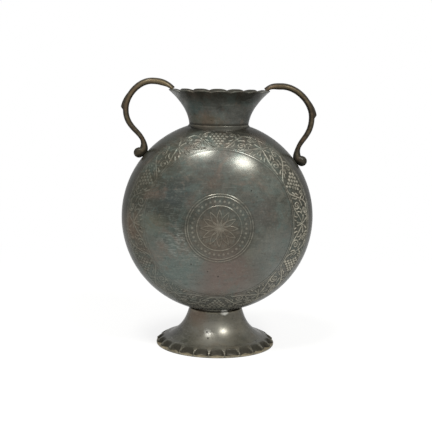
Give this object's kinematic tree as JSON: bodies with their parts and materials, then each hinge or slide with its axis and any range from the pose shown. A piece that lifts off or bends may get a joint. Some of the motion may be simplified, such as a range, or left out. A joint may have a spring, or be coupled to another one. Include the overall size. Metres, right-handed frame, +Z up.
{
  "type": "amphora vase",
  "caption": "Patinated bronze amphora vase with a round flask body, a fluted trumpet foot, a flared scalloped neck and scroll handles, for holding flowers.",
  "frame": {"origin": "centre of the circle that the foot stands on", "axes": "+Z up through the neck, the decorated front of the body faces -Y, +X to the right of the front view"},
  "size_m": [0.142, 0.1, 0.1953],
  "materials": {
    "body_patina": "aged grey-brown patina, satin, with rubbed relief",
    "neck_patina": "dark grey-green patina, satin, with a rubbed rim edge",
    "foot_patina": "grey-brown patina, satin, with a rubbed golden edge",
    "handle_bronze": "rubbed brown bronze, satin"
  },
  "bodies": {
    "root": {"front_shell": "body_patina", "rear_shell": "body_patina", "neck_collar": "neck_patina", "neck": "neck_patina", "foot_collar": "foot_patina", "foot": "foot_patina", "left_handle": "handle_bronze", "right_handle": "handle_bronze"}
  },
  "joints": []
}
